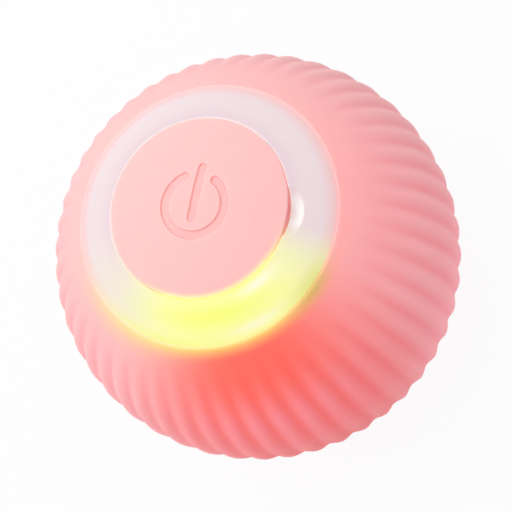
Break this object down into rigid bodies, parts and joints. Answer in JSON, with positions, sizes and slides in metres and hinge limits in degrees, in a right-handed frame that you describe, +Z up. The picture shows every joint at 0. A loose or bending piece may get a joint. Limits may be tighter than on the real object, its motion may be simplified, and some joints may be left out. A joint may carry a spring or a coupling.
{
  "type": "self rolling cat ball",
  "caption": "Self rolling ball for cats: a ribbed silicone cover over a sealed ball with a light ring, a button cap over the charging port, and a motor that swings a weight.",
  "frame": {"origin": "middle of the flat foot that the ball stands on, under the ball's centre", "axes": "+Z up along the pole axis through the button cap; +Y towards the top of the power symbol"},
  "size_m": [0.043, 0.043, 0.0411],
  "materials": {
    "pink_silicone": "matte",
    "cap_silicone": "matte",
    "frosted_ring": "frosted",
    "milky_plastic": "satin",
    "white_nylon": "satin",
    "black_plastic": "matte",
    "grey_plastic": "matte",
    "circuit_board": "satin",
    "battery_foil": "satin",
    "foam": "matte",
    "wire": "satin",
    "led": "glossy",
    "steel": "satin",
    "zinc": "cast",
    "brass": "satin"
  },
  "bodies": {
    "ball": {"silicone_cover": "pink_silicone", "light_ring": "frosted_ring", "upper_shell": "milky_plastic", "lower_shell": "milky_plastic", "switch_body": "steel", "circuit_board": "circuit_board", "usb_shell": "steel", "usb_tongue": "black_plastic", "control_chip": "black_plastic", "motion_sensor": "brass", "battery": "battery_foil", "battery_pad": "foam", "motor_frame": "grey_plastic", "motor_can": "steel", "motor_end_cap": "white_nylon", "gearbox_cover": "steel", "gearbox_base": "grey_plastic", "gear_axle": "steel", "upper_bush": "brass", "lower_bush": "brass", "led_1": "led", "board_screw_1": "steel", "frame_screw_1": "steel", "gearbox_screw_1": "steel", "led_2": "led", "board_screw_2": "steel", "frame_screw_2": "steel", "gearbox_screw_2": "steel", "led_3": "led", "board_screw_3": "steel", "frame_screw_3": "steel", "gearbox_screw_3": "steel", "battery_wire_1": "wire", "motor_wire_1": "wire", "motor_terminal_1": "brass", "battery_wire_2": "wire", "motor_wire_2": "wire", "motor_terminal_2": "brass"},
    "button": {"switch_plunger": "white_nylon", "switch_stem": "black_plastic"},
    "cap": {"button_cap": "cap_silicone"},
    "swing_weight": {"output_shaft": "steel", "output_gear": "white_nylon", "weight_carrier": "steel", "counterweight": "zinc", "weight_screw_1": "steel", "weight_screw_2": "steel"},
    "gear_3": {"compound_gear_3": "white_nylon"},
    "gear_2": {"compound_gear_2": "white_nylon"},
    "gear_1": {"compound_gear_1": "white_nylon"},
    "rotor": {"motor_shaft": "steel", "pinion": "brass"}
  },
  "joints": [
    {"name": "button_press", "type": "slide", "parent": "ball", "child": "button", "axis": [0, 0, -1], "range_m": [0, 0.0004], "stiffness_N_per_m": 2000},
    {"name": "cap_lift", "type": "slide", "parent": "button", "child": "cap", "axis": [0, 0, 1], "range_m": [0, 0.012]},
    {"name": "weight_spin", "type": "hinge", "parent": "ball", "child": "swing_weight", "pos_m": [0, 0, 0.0148], "axis": [0, 0, 1], "continuous": true},
    {"name": "gear_3_spin", "type": "hinge", "parent": "ball", "child": "gear_3", "pos_m": [0, 0.0048, 0.0148], "axis": [0, 0, 1], "continuous": true},
    {"name": "gear_2_spin", "type": "hinge", "parent": "ball", "child": "gear_2", "pos_m": [0, 0, 0.0148], "axis": [0, 0, 1], "continuous": true},
    {"name": "gear_1_spin", "type": "hinge", "parent": "ball", "child": "gear_1", "pos_m": [0, 0.0048, 0.0148], "axis": [0, 0, 1], "continuous": true},
    {"name": "motor_spin", "type": "hinge", "parent": "ball", "child": "rotor", "pos_m": [0, 0, 0.0148], "axis": [0, 0, 1], "continuous": true}
  ],
  "couplings": [
    {"joint": "gear_3_spin", "follows": "weight_spin", "ratio": -2.5556},
    {"joint": "gear_2_spin", "follows": "weight_spin", "ratio": 6.5309},
    {"joint": "gear_1_spin", "follows": "weight_spin", "ratio": -16.69},
    {"joint": "motor_spin", "follows": "weight_spin", "ratio": 42.652}
  ]
}
